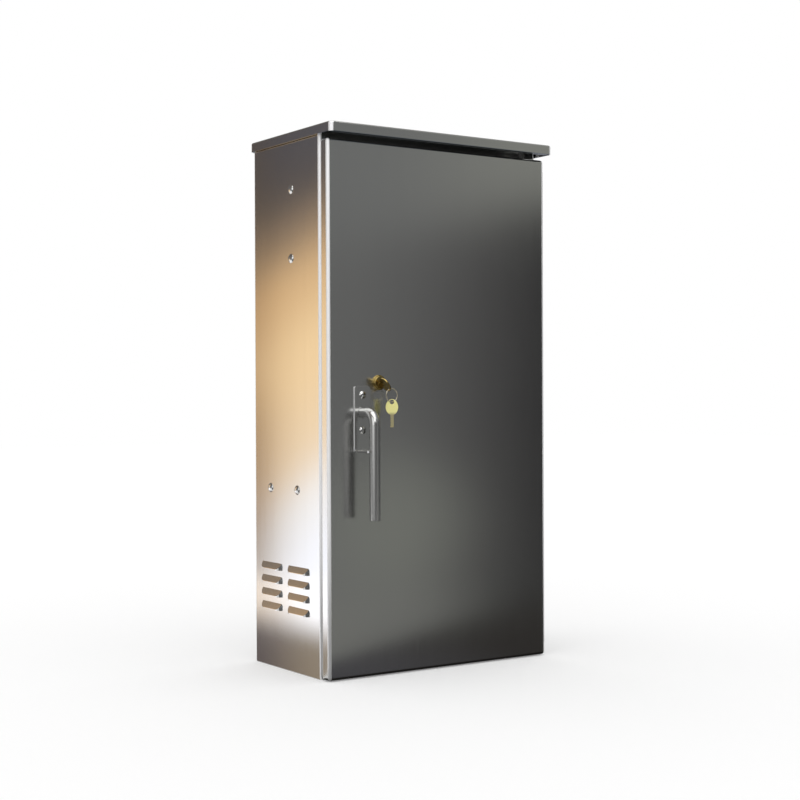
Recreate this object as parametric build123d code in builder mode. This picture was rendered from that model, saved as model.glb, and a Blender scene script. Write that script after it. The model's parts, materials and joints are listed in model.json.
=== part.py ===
from build123d import *
import os
from math import asin, cos, pi, radians, sin

# Roadside utility cabinet in millimetres: X to the right along the door, Y to the back, Z up.
# The origin is the middle of the base, on the ground.

# Cabinet
cabinet_width = 500.0
cabinet_height = 1005.0
body_depth = 247.0
sheet = 2.0
bend_inside = 3.5
overrun = 5.0
running_fit = 0.05
bolt_fit = 0.2

# Roof
roof_fascia = 18.0
roof_side_overhang = 5.3
roof_front_overhang = 20.0
roof_back_gap = 0.3
roof_bend_inside = 1.5
roof_corner = 8.0
roof_lip = 15.0

# Door
door_depth = 27.5
door_seam = 1.5
door_floor_gap = 2.0
door_roof_gap = 9.0
door_return = 12.0
stiffener_x = 60.0
stiffener_width = 34.0
stiffener_depth = 15.0
stiffener_flange = 15.0
stiffener_end_gap = 58.0

# Door opening, with the sealing lip that stands forward round it
jamb_width = 24.0
lip_depth = 14.0
header_height = 55.0
header_flange = 20.0
sill_height = 26.0
floor_flange = 20.0
seal_width = 14.0
seal_gap = 0.3
seal_corner = 12.0

# Base
anchor_pitch_x = 380.0
anchor_pitch_y = 150.0
anchor_hole_radius = 6.5
cable_length = 200.0
cable_width = 100.0
cable_y = 20.0
cable_corner = 8.0
gland_margin = 18.0
gland_screw_inset = 9.0
gland_screw_radius = 2.5
gland_screw_head_radius = 4.5
gland_screw_head_height = 2.6
gland_screw_length = 3.4

# Louvres in both walls
louvre_length = 72.0
louvre_height = 13.0
louvre_depth = 7.0
louvre_wall = 1.5
louvre_end = 12.0
louvre_lip = 1.8
louvre_crease = 2.0
louvre_rows = 4
louvre_row_pitch = 25.3
louvre_low = 109.0
louvre_column_pitch = 100.0
louvre_middle_y = 6.0

# Filters behind the louvres
filter_margin = 16.0
filter_depth = 14.0
filter_lip = 8.0
filter_clearance = 0.3

# Dome bolts through the walls: a vertical pair for the rail, a level pair for the shelf
rail_bolt_y = -20.5
rail_bolt_middle_z = 835.0
rail_bolt_pitch = 129.0
shelf_bolt_z = 340.0
shelf_bolt_middle_y = 10.0
shelf_bolt_pitch = 100.0
side_bolt_radius = 3.0
side_bolt_head_radius = 9.0
side_bolt_head_height = 4.2
side_bolt_spare = 4.0
side_nut_flats = 10.0
side_nut_height = 5.0

# Rail and shelf
bracket_sheet = 3.0
bracket_bend_inside = 2.0
rail_bracket_width = 36.0
rail_bracket_reach = 32.0
rail_bracket_margin = 30.0
rail_height = 40.0
rail_depth = 20.0
rail_mouth = 22.0
rail_end_gap = 8.0
rail_screw_pitch = 20.0
shelf_bracket_height = 40.0
shelf_bracket_reach = 35.0
shelf_bracket_margin = 15.0
shelf_front_gap = 20.0
shelf_back_gap = 13.0
shelf_side_gap = 4.0
shelf_fold = 20.0
shelf_screw_pitch = 90.0
small_screw_radius = 2.5
small_screw_head_radius = 4.5
small_screw_head_height = 2.6
small_screw_spare = 4.0

# Mounting panel
panel_sheet = 3.0
panel_width = 410.0
panel_low = 100.0
panel_high = 930.0
panel_standoff = 20.0
panel_stud_inset = 25.0
panel_stud_radius = 6.0
panel_thread_radius = 3.0
panel_thread_length = 10.0
panel_nut_flats = 10.0
panel_nut_height = 5.0

# Ground stud
ground_x = -160.0
ground_y = 55.0
ground_radius = 4.0
ground_height = 30.0
ground_nut_flats = 13.0
ground_nut_height = 6.5
ground_nut_gap = 2.0

# Continuous hinge on the right edge
hinge_low = 24.0
hinge_high = 956.0
hinge_knuckles = 37
hinge_leaf = 1.5
hinge_leaf_width = 28.0
hinge_door_leaf_width = 22.0
knuckle_radius = 4.0
knuckle_gap = 0.4
hinge_pin_radius = 2.0
rivet_count = 9
rivet_radius = 2.4
rivet_head_radius = 4.5
rivet_head_height = 1.8
rivet_tail_radius = 3.8
rivet_tail_height = 1.2

# Handle
handle_x = -178.5
handle_z = 484.0
handle_radius = 9.8
handle_standoff = 43.0
handle_drop = 194.0
handle_bend = 22.0
handle_end_round = 1.5
handle_shoulder_gap = 0.3
shaft_radius = 8.0
shaft_square = 11.0
shaft_thread_radius = 4.0
shaft_thread_length = 8.0
bush_wall = 2.5
bush_flange_radius = 14.0
bush_flange = 3.0

# Padlock plate under the handle
plate_sheet = 3.0
plate_width = 33.0
plate_rise = 47.5
plate_fall = 72.0
plate_bend_inside = 2.0
plate_corner = 3.0
plate_bolt_pitch = 64.0
plate_bolt_radius = 3.0
plate_bolt_head_radius = 7.2
plate_bolt_head_height = 3.6
plate_bolt_spare = 7.0
plate_nut_flats = 10.0
plate_nut_height = 5.0
tab_reach = 32.0
prong_reach = 46.0
prong_width = 5.6
prong_round = 2.2
padlock_radius = 4.75
padlock_out = 20.0

# Latch: a cam on the shaft drives two rods with rollers
cam_sheet = 4.0
cam_rear_gap = 6.5
cam_pin_circle = 22.0
cam_pin_radius = 3.0
cam_pin_head_radius = 4.8
cam_pin_head = 2.0
cam_pin_end_gap = 0.5
cam_half_width = 8.0
cam_hub_radius = 13.0
cam_rest_angle = 135.0
cam_nut_flats = 13.0
cam_nut_height = 5.0
rod_width = 21.0
rod_thickness = 6.0
rod_cam_gap = 1.0
rod_slot_clearance = 1.0
rod_slot_spare = 0.3
rod_end_margin = 6.0
roller_radius = 8.0
roller_width = 9.0
roller_axle_radius = 2.0
roller_side_gap = 0.5
roller_chamfer = 0.5
roller_end_gap = 1.5
latch_gap = 1.5
prong_beyond_axle = 4.0
guide_sheet = 3.0
guide_width = 36.0
guide_foot = 30.0
guide_end_gap = 75.0
guide_clearance = 0.4
guide_beyond_rod = 4.0

# Lock, its keys and their ring
lock_x = -141.5
lock_z = 538.5
lock_flange_radius = 14.0
lock_flange = 3.0
lock_boss_radius = 12.0
lock_boss = 7.0
lock_round = 1.2
lock_barrel_radius = 10.5
lock_barrel_length = 23.0
lock_nut_flats = 27.0
lock_nut_height = 5.0
plug_radius = 5.0
plug_drop = 4.0
plug_proud = 0.3
plug_tail_radius = 3.0
keyway_width = 2.6
keyway_height = 8.6
lock_cam_length = 44.0
lock_cam_half_width = 7.0
lock_cam_sheet = 2.5
lock_cam_gap = 0.5
lock_cam_screw_radius = 4.5
lock_cam_screw_head = 2.0
key_tilt = -55.0
key_sheet = 2.2
key_shoulder_gap = 0.5
key_blade_width = 8.0
key_blade_length = 26.0
key_bow_half_width = 14.5
key_bow_half_length = 13.5
key_bow_middle = 14.0
key_hole_radius = 3.2
key_hole_side = 10.0
key_hole_out = 16.5
spare_sheet = 2.0
spare_blade_length = 24.5
spare_blade_width = 6.5
spare_bow_half_width = 11.3
spare_bow_half_length = 14.5
spare_bow_middle = 12.5
spare_hole_radius = 4.1
spare_hole_out = 22.0
spare_turn = 34.0
bitting_shares = (0.35, 0.7, 0.5, 0.85, 0.45)
bitting_depth_share = 0.32
ring_radius = 12.0
ring_wire_radius = 1.0
ring_lean = -58.0
ring_hang = 1.3

# Planes and places that the pieces share
bend_outside = bend_inside + sheet
bend_middle = bend_inside + sheet / 2
half_width = cabinet_width / 2
front = -body_depth / 2
back = body_depth / 2
door_face = front - door_depth
door_inside = door_face + sheet
door_back = front - door_seam
door_low = door_floor_gap
door_high = cabinet_height - roof_fascia - door_roof_gap
wall_top = cabinet_height - sheet
inner_x = half_width - sheet
inner_back = back - sheet
jamb_rear = front + sheet
opening_x = half_width - jamb_width
opening_low = sill_height
opening_high = wall_top - header_height
lip_front = front - lip_depth
lip_x = opening_x + sheet / 2
lip_low = opening_low - sheet / 2
lip_high = opening_high + sheet / 2
sides = (-1, 1)

plate_face = door_face - plate_sheet
cam_rear = front + cam_rear_gap
cam_front = cam_rear - cam_sheet
rod_front = cam_rear + rod_cam_gap
rod_rear = rod_front + rod_thickness
rod_middle_y = (rod_front + rod_rear) / 2
pin_reach = cam_pin_circle * abs(cos(radians(cam_rest_angle)))
pin_rise = cam_pin_circle * sin(radians(cam_rest_angle))
rod_offset = (cam_pin_circle + pin_reach) / 2
rod_slot_half = (cam_pin_circle - pin_reach) / 2 + rod_slot_spare
axle_high = opening_high - latch_gap - roller_radius
axle_low = opening_low + latch_gap + roller_radius

hinge_x = half_width + knuckle_radius + knuckle_gap
hinge_y = front - door_seam / 2
leaf_edge = knuckle_radius + 2 * knuckle_gap
knuckle_pitch = (hinge_high - hinge_low) / hinge_knuckles

plug_z = lock_z - plug_drop
lock_face = door_face - lock_boss
barrel_rear = door_face + lock_barrel_length
lock_cam_front = barrel_rear + lock_cam_gap
lock_cam_rear = lock_cam_front + lock_cam_sheet
key_shoulder = lock_face - plug_proud - key_shoulder_gap
key_side = Vector(cos(radians(key_tilt)), 0, sin(radians(key_tilt)))
key_hole = Vector(lock_x, key_shoulder - key_hole_out, plug_z) + key_side * key_hole_side
ring_top = key_hole + key_side * ring_hang
ring_middle = ring_top + Vector(cos(radians(ring_lean)), 0, sin(radians(ring_lean))) * ring_radius
spare_hole = ring_middle - Vector(0, 0, ring_radius)


def block(low, high, mode=Mode.ADD):
    """A block between two corners, in the part being built."""
    with Locations(low):
        Box(*[b - a for a, b in zip(low, high)], align=(Align.MIN, Align.MIN, Align.MIN), mode=mode)


def round_block(low, high, radius):
    """A block between two corners with every edge rounded like a fold."""
    with BuildPart() as tool:
        block(low, high)
        fillet(tool.edges(), radius)
    return tool.part


def bar(start, direction, length, radius, mode=Mode.ADD):
    """A round bar from a point along a direction, in the part being built."""
    with Locations(Plane(origin=start, z_dir=direction)):
        Cylinder(radius, length, align=(Align.CENTER, Align.CENTER, Align.MIN), mode=mode)


def front_plane(y):
    """A sketch plane at depth y, seen from the front: across is X, up is Z, extruding comes forward."""
    return Plane.XZ.offset(-y)


def dome_bolt(head_radius, head_height, shank_radius, shank_length):
    """A dome-head bolt on Z: the head stands on Z = 0 and the shank goes down."""
    dome_radius = (head_radius ** 2 + head_height ** 2) / (2 * head_height)
    half_angle = asin(head_radius / dome_radius) / 2
    middle = (dome_radius * sin(half_angle), head_height - dome_radius * (1 - cos(half_angle)))
    with BuildPart() as bolt:
        with BuildSketch(Plane.XZ):
            with BuildLine():
                Polyline((0, head_height), (0, -shank_length), (shank_radius, -shank_length),
                         (shank_radius, 0), (head_radius, 0))
                ThreePointArc((head_radius, 0), middle, (0, head_height))
            make_face()
        revolve(axis=Axis.Z)
    return bolt.part


def hex_nut(flats, height, hole_radius):
    """A hexagon nut on Z, from Z = 0 up."""
    with BuildPart() as nut:
        with BuildSketch():
            RegularPolygon(flats / 2, 6, major_radius=False)
            Circle(hole_radius, mode=Mode.SUBTRACT)
        extrude(amount=height)
    return nut.part


def placed(piece, planes):
    """Copies of one piece, one on each plane, as one group."""
    with BuildPart() as group:
        with Locations(*planes):
            add(piece)
    return group.part


# Louvre, in its own frame: the wall's face is X = 0, outward is +X, the open edge is at Z = 0.
# The hood is a quarter ellipse along the slot with rounded ends, and the void is the same shape one wall in.
def louvre_solid(inset, root):
    """The hood's outer form, or the void inside it, carried back into the wall by the root."""
    rise = louvre_height - louvre_lip
    slope_length = (rise ** 2 + louvre_depth ** 2) ** 0.5
    depth = louvre_depth - inset
    height = louvre_height - inset * slope_length / louvre_depth
    lip = height - rise * depth / louvre_depth
    half = louvre_length / 2 - inset
    end = louvre_end - inset
    with BuildPart() as hood:
        with BuildSketch(Plane.XZ):
            with BuildLine():
                FilletPolyline((0, height), (depth, lip), (depth, 0), radius=louvre_crease - inset)
                Polyline((depth, 0), (0, 0), (0, height))
            make_face()
        extrude(amount=half, both=True)
        with BuildSketch():
            with BuildLine():
                EllipticalCenterArc((0, end - half), depth, end, start_angle=-90, arc_size=90)
                Line((depth, end - half), (depth, half - end))
                EllipticalCenterArc((0, half - end), depth, end, arc_size=90)
                Line((0, half), (0, -half))
            make_face()
        extrude(amount=height, mode=Mode.INTERSECT)
        block((-root, -half, 0), (0, half, height))
    return hood.part


louvre_hood = louvre_solid(0, sheet / 2)
louvre_void = louvre_solid(louvre_wall, sheet + overrun)
louvre_places = [
    Location((side * half_width, louvre_middle_y + column * louvre_column_pitch / 2,
              louvre_low + row * louvre_row_pitch), (0, 0, 0 if side > 0 else 180))
    for side in sides for column in sides for row in range(louvre_rows)
]

# Bolts and rivets stand at these places
rail_bolt_zs = [rail_bolt_middle_z + end * rail_bolt_pitch / 2 for end in sides]
shelf_bolt_ys = [shelf_bolt_middle_y + end * shelf_bolt_pitch / 2 for end in sides]
side_bolt_places = [(rail_bolt_y, z) for z in rail_bolt_zs] + [(y, shelf_bolt_z) for y in shelf_bolt_ys]
rivet_pitch = (hinge_high - hinge_low) / rivet_count
rivet_zs = [hinge_low + (index + 1 / 2) * rivet_pitch for index in range(rivet_count)]
body_rivet_y = hinge_y + (leaf_edge + hinge_leaf_width) / 2
door_rivet_y = hinge_y - (leaf_edge + hinge_door_leaf_width) / 2

# Body shell: left wall, back, right wall, jambs and sealing lips folded from one sheet
with BuildPart() as body_shell:
    with BuildSketch():
        with BuildLine():
            FilletPolyline(
                (-lip_x, lip_front),
                (-lip_x, front + sheet / 2),
                (-half_width + sheet / 2, front + sheet / 2),
                (-half_width + sheet / 2, back - sheet / 2),
                (half_width - sheet / 2, back - sheet / 2),
                (half_width - sheet / 2, front + sheet / 2),
                (lip_x, front + sheet / 2),
                (lip_x, lip_front),
                radius=bend_middle,
            )
        trace(line_width=sheet)
    extrude(amount=wall_top)
    for low, high in ((-overrun, opening_low - sheet), (opening_high + sheet, wall_top + overrun)):
        block((-half_width, lip_front - overrun, low), (half_width, front, high), mode=Mode.SUBTRACT)
    with Locations(*louvre_places):
        add(louvre_hood)
    with Locations(*louvre_places):
        add(louvre_void, mode=Mode.SUBTRACT)
    with BuildSketch(Plane.YZ):
        with Locations(*side_bolt_places):
            Circle(side_bolt_radius + bolt_fit)
    extrude(amount=half_width + overrun, both=True, mode=Mode.SUBTRACT)
    with BuildSketch(Plane.YZ):
        with Locations(*[(body_rivet_y, z) for z in rivet_zs]):
            Circle(rivet_radius + bolt_fit)
    extrude(amount=half_width + overrun, mode=Mode.SUBTRACT)

# Floor pan: base, back and side flanges, and the sill with its lip
with BuildPart() as floor_pan:
    with BuildSketch(Plane.YZ):
        with BuildLine():
            FilletPolyline(
                (lip_front, lip_low),
                (front + sheet / 2, lip_low),
                (front + sheet / 2, sheet / 2),
                (inner_back - sheet / 2, sheet / 2),
                (inner_back - sheet / 2, floor_flange),
                radius=bend_middle,
            )
        trace(line_width=sheet)
    extrude(amount=opening_x, both=True)
    with BuildSketch(front_plane(inner_back - bend_outside)):
        with BuildLine():
            FilletPolyline(
                (-inner_x + sheet / 2, floor_flange),
                (-inner_x + sheet / 2, sheet / 2),
                (inner_x - sheet / 2, sheet / 2),
                (inner_x - sheet / 2, floor_flange),
                radius=bend_middle,
            )
        trace(line_width=sheet)
    extrude(amount=inner_back - bend_outside - jamb_rear - bend_outside)
    with BuildSketch():
        with Locations((0, cable_y)):
            RectangleRounded(cable_length, cable_width, cable_corner)
        with GridLocations(anchor_pitch_x, anchor_pitch_y, 2, 2):
            Circle(anchor_hole_radius)
    extrude(amount=sheet, mode=Mode.SUBTRACT)
    gland_length = cable_length + 2 * gland_margin
    gland_width = cable_width + 2 * gland_margin
    gland_screw_places = GridLocations(
        gland_length / 2 - gland_screw_inset, gland_width - 2 * gland_screw_inset, 3, 2
    ).locations
    with BuildSketch():
        with Locations(*[(place.position.X, cable_y + place.position.Y) for place in gland_screw_places]):
            Circle(gland_screw_radius + bolt_fit)
    extrude(amount=sheet, mode=Mode.SUBTRACT)

gland_screw_tops = [
    Plane((place.position.X, cable_y + place.position.Y, 2 * sheet)) for place in gland_screw_places
]

# Gland plate: a blank cover over the cable cut-out, to be drilled on site
with BuildPart() as gland_plate:
    with BuildSketch(Plane.XY.offset(sheet)):
        with Locations((0, cable_y)):
            RectangleRounded(gland_length, gland_width, cable_corner)
        with Locations(*[(plane.origin.X, plane.origin.Y) for plane in gland_screw_tops]):
            Circle(gland_screw_radius + bolt_fit, mode=Mode.SUBTRACT)
    extrude(amount=sheet)

gland_screw = dome_bolt(
    gland_screw_head_radius, gland_screw_head_height, gland_screw_radius, gland_screw_length
)
gland_screws = placed(gland_screw, gland_screw_tops)

# Door header: the upper jamb, hung under the roof
with BuildPart() as door_header:
    with BuildSketch(Plane.YZ):
        with BuildLine():
            FilletPolyline(
                (front + header_flange, wall_top - sheet / 2),
                (front + sheet / 2, wall_top - sheet / 2),
                (front + sheet / 2, lip_high),
                (lip_front, lip_high),
                radius=bend_middle,
            )
        trace(line_width=sheet)
    extrude(amount=opening_x, both=True)

# Roof canopy: a folded pan with a return lip behind its front fascia
roof_x = half_width + roof_side_overhang
roof_front = door_face - roof_front_overhang
roof_bend_outside = roof_bend_inside + sheet
roof_back = back + roof_bend_outside + roof_back_gap
roof_low = cabinet_height - roof_fascia


def roof_form(inset, depth):
    """The canopy's outside, or the space inside it, carried down by the depth, with rounded folds."""
    with BuildPart() as form:
        block((-roof_x + inset, roof_front + inset, roof_low - depth),
              (roof_x - inset, roof_back - inset, cabinet_height - inset))
        fillet(form.edges().filter_by(Axis.Z), roof_corner - inset)
        fillet(form.edges().group_by(Axis.Z)[-1], roof_bend_outside - inset)
    return form.part


with BuildPart() as roof_canopy:
    add(roof_form(0, 0))
    add(roof_form(sheet, overrun), mode=Mode.SUBTRACT)
    block((roof_corner - roof_x, roof_front + sheet / 2, roof_low),
          (roof_x - roof_corner, roof_front + roof_lip, roof_low + sheet))

# Door pan: face, four edges and the return behind them, folded from one sheet
with BuildPart() as door_pan:
    add(round_block((-half_width, door_face, door_low), (half_width, door_back, door_high), bend_outside))
    add(round_block((-inner_x, door_inside, door_low + sheet),
                    (inner_x, door_back - sheet, door_high - sheet), bend_inside), mode=Mode.SUBTRACT)
    block((-half_width + door_return, door_inside + bend_inside, door_low + door_return),
          (half_width - door_return, door_back + overrun, door_high - door_return), mode=Mode.SUBTRACT)
    with BuildSketch(front_plane(door_inside)):
        with Locations((handle_x, handle_z)):
            Circle(shaft_radius + running_fit + bush_wall + bolt_fit)
        for end in sides:
            with Locations((handle_x, handle_z + end * plate_bolt_pitch / 2)):
                Circle(plate_bolt_radius + bolt_fit)
        with Locations((lock_x, lock_z)):
            Circle(lock_barrel_radius + bolt_fit)
    extrude(amount=sheet, mode=Mode.SUBTRACT)
    with BuildSketch(Plane.YZ.offset(inner_x)):
        with Locations(*[(door_rivet_y, z) for z in rivet_zs]):
            Circle(rivet_radius + bolt_fit)
    extrude(amount=sheet, mode=Mode.SUBTRACT)

# Door stiffener: a hat section down the inside of the door
with BuildPart() as door_stiffener:
    hat_foot = door_inside + sheet / 2
    hat_crown = hat_foot + stiffener_depth
    hat_half = stiffener_width / 2
    with BuildSketch(Plane.XY.offset(door_low + stiffener_end_gap)):
        with BuildLine():
            FilletPolyline(
                (stiffener_x - hat_half - stiffener_flange, hat_foot),
                (stiffener_x - hat_half, hat_foot),
                (stiffener_x - hat_half, hat_crown),
                (stiffener_x + hat_half, hat_crown),
                (stiffener_x + hat_half, hat_foot),
                (stiffener_x + hat_half + stiffener_flange, hat_foot),
                radius=bend_middle,
            )
        trace(line_width=sheet)
    extrude(amount=door_high - door_low - 2 * stiffener_end_gap)

# Door seal: a foam strip on the door, facing the lip round the opening
with BuildPart() as door_seal:
    seal_rear = lip_front - seal_gap
    with BuildSketch(front_plane(seal_rear)):
        with Locations((0, (lip_low + lip_high) / 2)):
            RectangleRounded(2 * lip_x + seal_width, lip_high - lip_low + seal_width, seal_corner)
            Rectangle(2 * lip_x - seal_width, lip_high - lip_low - seal_width, mode=Mode.SUBTRACT)
    extrude(amount=seal_rear - door_inside)


# Hinge leaves: the body's leaf reaches back, the door's leaf reaches forward, and their knuckles alternate
def hinge_leaf_part(reach, width, first, rivet_y):
    """One leaf with every second knuckle; reach is +1 towards the back and -1 towards the front."""
    with BuildPart() as leaf:
        near, far = sorted((hinge_y + reach * leaf_edge, hinge_y + reach * width))
        block((half_width, near, hinge_low), (half_width + hinge_leaf, far, hinge_high))
        for index in range(first, hinge_knuckles, 2):
            low = hinge_low + index * knuckle_pitch + knuckle_gap / 2
            high = low + knuckle_pitch - knuckle_gap
            web_near, web_far = sorted((hinge_y, hinge_y + reach * (leaf_edge + hinge_leaf)))
            block((half_width, web_near, low), (half_width + hinge_leaf, web_far, high))
            bar((hinge_x, hinge_y, low), (0, 0, 1), high - low, knuckle_radius)
        bar((hinge_x, hinge_y, hinge_low), (0, 0, 1), hinge_high - hinge_low,
            hinge_pin_radius + running_fit, mode=Mode.SUBTRACT)
        with BuildSketch(Plane.YZ.offset(half_width)):
            with Locations(*[(rivet_y, z) for z in rivet_zs]):
                Circle(rivet_radius + bolt_fit)
        extrude(amount=hinge_leaf, mode=Mode.SUBTRACT)
    return leaf.part


hinge_leaf_body = hinge_leaf_part(1, hinge_leaf_width, 0, body_rivet_y)
hinge_leaf_door = hinge_leaf_part(-1, hinge_door_leaf_width, 1, door_rivet_y)

with BuildPart() as hinge_pin:
    bar((hinge_x, hinge_y, hinge_low), (0, 0, 1), hinge_high - hinge_low, hinge_pin_radius)


def rivets(y):
    """A row of rivets through a hinge leaf and the sheet behind it, each with its set tail."""
    rivet_length = hinge_leaf + sheet
    rivet = dome_bolt(rivet_head_radius, rivet_head_height, rivet_radius, rivet_length)
    with BuildPart() as row:
        with Locations(*[Plane((half_width + hinge_leaf, y, z), z_dir=(1, 0, 0)) for z in rivet_zs]):
            add(rivet)
        for z in rivet_zs:
            bar((inner_x, y, z), (-1, 0, 0), rivet_tail_height, rivet_tail_radius)
    return row.part


hinge_rivets_body = rivets(body_rivet_y)
hinge_rivets_door = rivets(door_rivet_y)

# Dome bolts through both walls, with their nuts on the brackets inside
side_bolt = dome_bolt(
    side_bolt_head_radius, side_bolt_head_height, side_bolt_radius,
    sheet + bracket_sheet + side_nut_height + side_bolt_spare,
)
side_bolts = placed(side_bolt, [
    Plane((side * half_width, y, z), z_dir=(side, 0, 0)) for side in sides for y, z in side_bolt_places
])
side_nut = hex_nut(side_nut_flats, side_nut_height, side_bolt_radius + running_fit)
side_nuts = placed(side_nut, [
    Plane((side * (inner_x - bracket_sheet), y, z), z_dir=(-side, 0, 0))
    for side in sides for y, z in side_bolt_places
])

# Rail brackets: an angle on each wall, held by the vertical pair of bolts
rail_bracket_low = rail_bolt_middle_z - rail_bolt_pitch / 2 - rail_bracket_margin
rail_bracket_high = rail_bolt_middle_z + rail_bolt_pitch / 2 + rail_bracket_margin
rail_back = rail_bolt_y + rail_bracket_width / 2 - bracket_sheet
rail_screw_x = inner_x - rail_bracket_reach / 2 - bracket_sheet / 2
rail_screw_places = [
    (side * rail_screw_x, rail_bolt_middle_z + end * rail_screw_pitch / 2) for side in sides for end in sides
]
bracket_bend = bracket_bend_inside + bracket_sheet / 2


def rail_bracket(side):
    """The angle on one wall; side is -1 for the left wall and 1 for the right."""
    with BuildPart() as bracket:
        with BuildSketch(Plane.XY.offset(rail_bracket_low)):
            with BuildLine():
                FilletPolyline(
                    (side * (inner_x - bracket_sheet / 2), rail_bolt_y - rail_bracket_width / 2),
                    (side * (inner_x - bracket_sheet / 2), rail_back + bracket_sheet / 2),
                    (side * (inner_x - rail_bracket_reach), rail_back + bracket_sheet / 2),
                    radius=bracket_bend,
                )
            trace(line_width=bracket_sheet)
        extrude(amount=rail_bracket_high - rail_bracket_low)
        with BuildSketch(Plane.YZ):
            with Locations(*[(rail_bolt_y, z) for z in rail_bolt_zs]):
                Circle(side_bolt_radius + bolt_fit)
        extrude(amount=half_width, both=True, mode=Mode.SUBTRACT)
        with BuildSketch(front_plane(rail_back + bracket_sheet)):
            with Locations(*rail_screw_places):
                Circle(small_screw_radius + bolt_fit)
        extrude(amount=bracket_sheet, mode=Mode.SUBTRACT)
    return bracket.part


rail_bracket_left = rail_bracket(-1)
rail_bracket_right = rail_bracket(1)

# Cross rail: a lipped channel between the brackets, open to the front
with BuildPart() as cross_rail:
    rail_front = rail_back - rail_depth
    half_rail = rail_height / 2 - sheet / 2
    with BuildSketch(Plane.YZ):
        with BuildLine():
            FilletPolyline(
                (rail_front + sheet / 2, rail_bolt_middle_z + rail_mouth / 2),
                (rail_front + sheet / 2, rail_bolt_middle_z + half_rail),
                (rail_back - sheet / 2, rail_bolt_middle_z + half_rail),
                (rail_back - sheet / 2, rail_bolt_middle_z - half_rail),
                (rail_front + sheet / 2, rail_bolt_middle_z - half_rail),
                (rail_front + sheet / 2, rail_bolt_middle_z - rail_mouth / 2),
                radius=bend_middle,
            )
        trace(line_width=sheet)
    extrude(amount=inner_x - rail_end_gap, both=True)
    with BuildSketch(front_plane(rail_back)):
        with Locations(*rail_screw_places):
            Circle(small_screw_radius + bolt_fit)
    extrude(amount=sheet, mode=Mode.SUBTRACT)

small_screw = dome_bolt(
    small_screw_head_radius, small_screw_head_height, small_screw_radius,
    sheet + bracket_sheet + small_screw_spare,
)
rail_screws = placed(small_screw, [
    Plane((x, rail_back - sheet, z), z_dir=(0, -1, 0)) for x, z in rail_screw_places
])

# Shelf brackets: an angle on each wall, held by the level pair of bolts
shelf_low = shelf_bolt_z + shelf_bracket_height / 2
shelf_bracket_front = shelf_bolt_middle_y - shelf_bolt_pitch / 2 - shelf_bracket_margin
shelf_bracket_back = shelf_bolt_middle_y + shelf_bolt_pitch / 2 + shelf_bracket_margin
shelf_screw_x = inner_x - shelf_bracket_reach / 2 - bracket_sheet / 2
shelf_screw_places = [
    (side * shelf_screw_x, shelf_bolt_middle_y + end * shelf_screw_pitch / 2)
    for side in sides for end in sides
]


def shelf_bracket(side):
    """The angle on one wall; side is -1 for the left wall and 1 for the right."""
    with BuildPart() as bracket:
        with BuildSketch(front_plane(shelf_bracket_back)):
            with BuildLine():
                FilletPolyline(
                    (side * (inner_x - bracket_sheet / 2), shelf_low - shelf_bracket_height),
                    (side * (inner_x - bracket_sheet / 2), shelf_low - bracket_sheet / 2),
                    (side * (inner_x - shelf_bracket_reach), shelf_low - bracket_sheet / 2),
                    radius=bracket_bend,
                )
            trace(line_width=bracket_sheet)
        extrude(amount=shelf_bracket_back - shelf_bracket_front)
        with BuildSketch(Plane.YZ):
            with Locations(*[(y, shelf_bolt_z) for y in shelf_bolt_ys]):
                Circle(side_bolt_radius + bolt_fit)
        extrude(amount=half_width, both=True, mode=Mode.SUBTRACT)
        with BuildSketch(Plane.XY.offset(shelf_low)):
            with Locations(*shelf_screw_places):
                Circle(small_screw_radius + bolt_fit)
        extrude(amount=-bracket_sheet, mode=Mode.SUBTRACT)
    return bracket.part


shelf_bracket_left = shelf_bracket(-1)
shelf_bracket_right = shelf_bracket(1)

# Equipment shelf, folded down along its front and back edges
with BuildPart() as equipment_shelf:
    shelf_front = shelf_bracket_front - shelf_front_gap
    shelf_rear = shelf_bracket_back + shelf_back_gap
    with BuildSketch(Plane.YZ):
        with BuildLine():
            FilletPolyline(
                (shelf_front + sheet / 2, shelf_low + sheet - shelf_fold),
                (shelf_front + sheet / 2, shelf_low + sheet / 2),
                (shelf_rear - sheet / 2, shelf_low + sheet / 2),
                (shelf_rear - sheet / 2, shelf_low + sheet - shelf_fold),
                radius=bend_middle,
            )
        trace(line_width=sheet)
    extrude(amount=inner_x - shelf_side_gap, both=True)
    with BuildSketch(Plane.XY.offset(shelf_low)):
        with Locations(*shelf_screw_places):
            Circle(small_screw_radius + bolt_fit)
    extrude(amount=sheet, mode=Mode.SUBTRACT)

shelf_screws = placed(small_screw, [Plane((x, y, shelf_low + sheet)) for x, y in shelf_screw_places])

# Mounting panel on four studs welded to the back
panel_rear = inner_back - panel_standoff
panel_front = panel_rear - panel_sheet
panel_stud_x = panel_width / 2 - panel_stud_inset
panel_stud_places = [
    (side * panel_stud_x, z)
    for side in sides for z in (panel_low + panel_stud_inset, panel_high - panel_stud_inset)
]

with BuildPart() as mounting_panel:
    with BuildSketch(front_plane(panel_rear)):
        with Locations((0, (panel_low + panel_high) / 2)):
            Rectangle(panel_width, panel_high - panel_low)
        with Locations(*panel_stud_places):
            Circle(panel_thread_radius + bolt_fit, mode=Mode.SUBTRACT)
    extrude(amount=panel_sheet)

with BuildPart() as panel_studs:
    for x, z in panel_stud_places:
        bar((x, panel_rear, z), (0, 1, 0), panel_standoff, panel_stud_radius)
        bar((x, panel_rear, z), (0, -1, 0), panel_sheet + panel_thread_length, panel_thread_radius)

panel_nut = hex_nut(panel_nut_flats, panel_nut_height, panel_thread_radius + running_fit)
panel_nuts = placed(panel_nut, [Plane((x, panel_front, z), z_dir=(0, -1, 0)) for x, z in panel_stud_places])

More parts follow.
